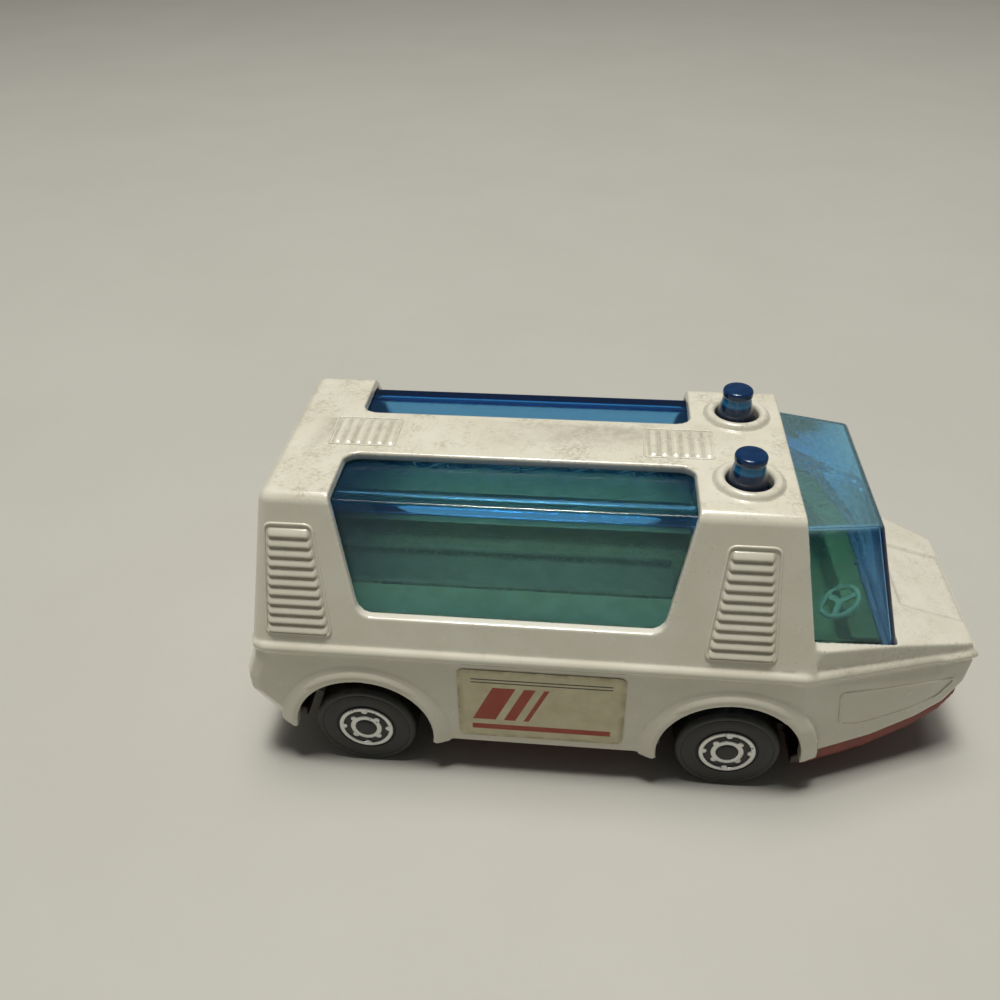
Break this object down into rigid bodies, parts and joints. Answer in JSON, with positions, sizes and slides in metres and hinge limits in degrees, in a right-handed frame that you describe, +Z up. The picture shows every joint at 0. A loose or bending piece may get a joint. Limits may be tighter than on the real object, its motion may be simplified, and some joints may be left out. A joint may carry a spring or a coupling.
{
  "type": "toy ambulance",
  "caption": "Pocket die-cast toy ambulance with a white body, blue wrap-over windows, roof beacons, free wheels and a lifting tailgate.",
  "frame": {"origin": "on the ground, under the middle of the toy's length and width", "axes": "+X to the nose, +Y to the vehicle's left, +Z up"},
  "size_m": [0.07, 0.0314, 0.0333],
  "materials": {
    "enamel": "warm white gloss enamel, worn and specked with dirt",
    "base_paint": "dark red paint, satin",
    "blue_glazing": "clear blue moulded plastic",
    "beacon_blue": "deep blue clear plastic",
    "interior_plastic": "ivory moulded plastic",
    "wheel_plastic": "black moulded plastic",
    "hub_foil": "hot-stamped silver foil, dulled",
    "steel_wire": "drawn steel wire",
    "label_paper": "aged cream paper with red print"
  },
  "bodies": {
    "vehicle": {"body_casting": "enamel", "base_plate": "base_paint", "cab_glazing": "blue_glazing", "bay_glazing": "blue_glazing", "beacon_right": "beacon_blue", "beacon_left": "beacon_blue", "interior_moulding": "interior_plastic", "steering_wheel": "interior_plastic", "tailgate_pin": "steel_wire", "front_axle": "steel_wire", "rear_axle": "steel_wire", "rivets": "steel_wire", "label_right": "label_paper", "label_left": "label_paper"},
    "tailgate": {"tailgate": "enamel"},
    "wheel_front_right": {"wheel_front_right": "wheel_plastic", "hub_foil_front_right": "hub_foil"},
    "wheel_front_left": {"wheel_front_left": "wheel_plastic", "hub_foil_front_left": "hub_foil"},
    "wheel_rear_right": {"wheel_rear_right": "wheel_plastic", "hub_foil_rear_right": "hub_foil"},
    "wheel_rear_left": {"wheel_rear_left": "wheel_plastic", "hub_foil_rear_left": "hub_foil"}
  },
  "joints": [
    {"name": "tailgate_lift", "type": "hinge", "parent": "vehicle", "child": "tailgate", "pos_m": [-0.03152, 0, 0.02711], "axis": [0, 1, 0], "range_deg": [0, 75]},
    {"name": "spin_front_right", "type": "hinge", "parent": "vehicle", "child": "wheel_front_right", "pos_m": [0.0118, -0.013, 0.00505], "axis": [0, 1, 0], "continuous": true},
    {"name": "spin_front_left", "type": "hinge", "parent": "vehicle", "child": "wheel_front_left", "pos_m": [0.0118, 0.013, 0.00505], "axis": [0, 1, 0], "continuous": true},
    {"name": "spin_rear_right", "type": "hinge", "parent": "vehicle", "child": "wheel_rear_right", "pos_m": [-0.0235, -0.013, 0.00505], "axis": [0, 1, 0], "continuous": true},
    {"name": "spin_rear_left", "type": "hinge", "parent": "vehicle", "child": "wheel_rear_left", "pos_m": [-0.0235, 0.013, 0.00505], "axis": [0, 1, 0], "continuous": true}
  ]
}
